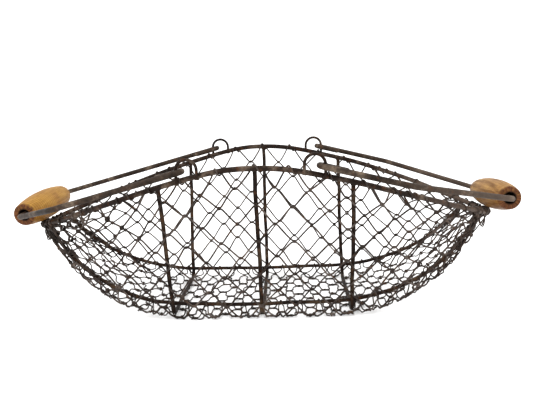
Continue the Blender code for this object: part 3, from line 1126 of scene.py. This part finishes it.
def lathed(name, outline, sides):
    """A closed mesh turned about Y from an outline that starts and ends in the bore."""
    vertices = []
    faces = []
    count = len(outline)
    for side in range(sides):
        angle = 2 * math.pi * side / sides
        for y, radius in outline:
            vertices.append((radius * math.cos(angle), y, radius * math.sin(angle)))
    for side in range(sides):
        other = (side + 1) % sides
        for i in range(count):
            j = (i + 1) % count
            faces.append((side * count + i, side * count + j, other * count + j, other * count + i))
    mesh = bpy.data.meshes.new(name)
    mesh.from_pydata(vertices, [], faces)
    mesh.validate()
    mesh.shade_smooth()
    return mesh


def build_grips(woods):
    half = grip_outline()
    outline = half + [(-y, radius) for y, radius in half[-2::-1]]
    for hand in SIDES:
        node = f"grip_{hand}"
        name = f"{node}_wood"
        centre, axis = joint_line(f"grip_{hand}_spin")
        out = Vector((1, 0, 0)) - axis * axis.x
        place = axes_matrix(centre, out.normalized(), axis)
        add_object(name, lathed(name, outline, 64), woods[hand], node, (node,), place)


# ---- stage, light and camera ------------------------------------------------------------


def build_stage():
    material, tree, shader = node_material("stage_floor")
    tone = noise(tree, object_vector(tree), 3.0, 2.0, 0.5)
    paper = ramp(tree, tone, [(0.3, grey(0.975)), (0.7, grey(0.985))])
    tree.links.new(paper, shader.inputs["Base Color"])
    shader.inputs["Roughness"].default_value = 0.9
    shader.inputs["Specular IOR Level"].default_value = 0.1
    mesh = bpy.data.meshes.new("floor")
    corners = [(-1, -1, 0), (1, -1, 0), (1, 1, 0), (-1, 1, 0)]
    corners = [(x * FLOOR_REACH, y * FLOOR_REACH, z) for x, y, z in corners]
    mesh.from_pydata(corners, [], [(0, 1, 2, 3)])
    floor = bpy.data.objects.new("floor", mesh)
    mesh.materials.append(material)
    bpy.context.scene.collection.objects.link(floor)
    floor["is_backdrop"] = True


def build_lights():
    world = bpy.data.worlds.new("studio")
    bpy.context.scene.world = world
    world.use_nodes = True
    background = world.node_tree.nodes["Background"]
    background.inputs["Color"].default_value = (1.0, 1.0, 1.0, 1.0)
    background.inputs["Strength"].default_value = SKY_STRENGTH
    target = Vector((0, 0, 0.05))
    for name, place, size, power in LAMPS:
        light = bpy.data.lights.new(name, "AREA")
        light.size = size
        light.energy = power
        lamp = bpy.data.objects.new(name, light)
        lamp.location = place
        lamp.rotation_euler = (target - Vector(place)).to_track_quat("-Z", "Y").to_euler()
        bpy.context.scene.collection.objects.link(lamp)


def build_camera():
    data = bpy.data.cameras.new("camera")
    data.sensor_width = 36.0
    data.lens = CAMERA_LENS
    data.clip_start = 0.01
    camera = bpy.data.objects.new("camera", data)
    yaw = Matrix.Rotation(math.radians(CAMERA_YAW), 4, "Z")
    pitch = Matrix.Rotation(math.radians(CAMERA_PITCH), 4, "X")
    roll = Matrix.Rotation(math.radians(CAMERA_ROLL), 4, "Y")
    level = Matrix.Rotation(math.radians(90), 4, "X")
    camera.matrix_world = Matrix.Translation(CAMERA_PLACE) @ yaw @ pitch @ roll @ level
    bpy.context.scene.collection.objects.link(camera)
    bpy.context.scene.camera = camera


def build_frame():
    rng = np.random.default_rng(7)
    # The last number of each steel sets how strongly painted light pales it towards the right end
    frame_steel = patina_steel("frame_steel", dark=(0.004, 0.002, 0.001),
                               middle=(0.015, 0.008, 0.005), light=(0.110, 0.080, 0.058),
                               rust=(0.050, 0.018, 0.006), metallic=0.05, right_light_share=0.40)
    # A darker copy of the frame steel for chines and ribs: painted shade
    shaded_frame_steel = patina_steel("shaded_frame_steel", dark=(0.003, 0.001, 0.001),
                             middle=(0.011, 0.005, 0.002), light=(0.070, 0.043, 0.024),
                             rust=(0.055, 0.020, 0.006), metallic=0.03, right_light_share=0.10)
    build_rim(frame_steel, rng)
    build_chines(shaded_frame_steel, rng)
    build_ribs(shaded_frame_steel, rng)
    build_eyes(frame_steel)
    build_welds(frame_steel)


def build_all_netting():
    steel = patina_steel("netting_steel", dark=(0.009, 0.006, 0.004),
                         middle=(0.034, 0.025, 0.021), light=(0.125, 0.099, 0.083),
                         rust=(0.060, 0.028, 0.012), metallic=0.05, right_light_share=0.10)
    for depth, side in DEPTHS.items():
        build_wall_netting(steel, depth, side)
    build_floor_netting(steel)
    build_bindings(steel)
    build_lacing(steel)


def build_handles():
    steel = patina_steel("bail_steel", dark=(0.010, 0.006, 0.004),
                         middle=(0.034, 0.023, 0.016), light=(0.150, 0.112, 0.080),
                         rust=(0.050, 0.022, 0.010), metallic=0.06, right_light_share=0.26)
    build_bails(steel)
    woods = {
        "left": turned_wood("grip_wood_left", pale=(0.385, 0.200, 0.030),
                            middle=(0.270, 0.122, 0.018), deep=(0.095, 0.032, 0.006),
                            shade=0.55, hoops=0.45, grain_share=0.35, end_reach=0.004),
        "right": turned_wood("grip_wood_right", pale=(0.368, 0.204, 0.048),
                             middle=(0.235, 0.108, 0.019), deep=(0.072, 0.022, 0.005),
                             shade=0.80, hoops=0.10, grain_share=0.70, end_reach=0.006),
    }
    build_grips(woods)


build_frame()
build_all_netting()
build_handles()
build_stage()
build_lights()
build_camera()
bpy.context.scene.view_settings.view_transform = "Standard"

new_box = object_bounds()
boxes = [[list(corner) for corner in box] for box in (cad_box, new_box)]
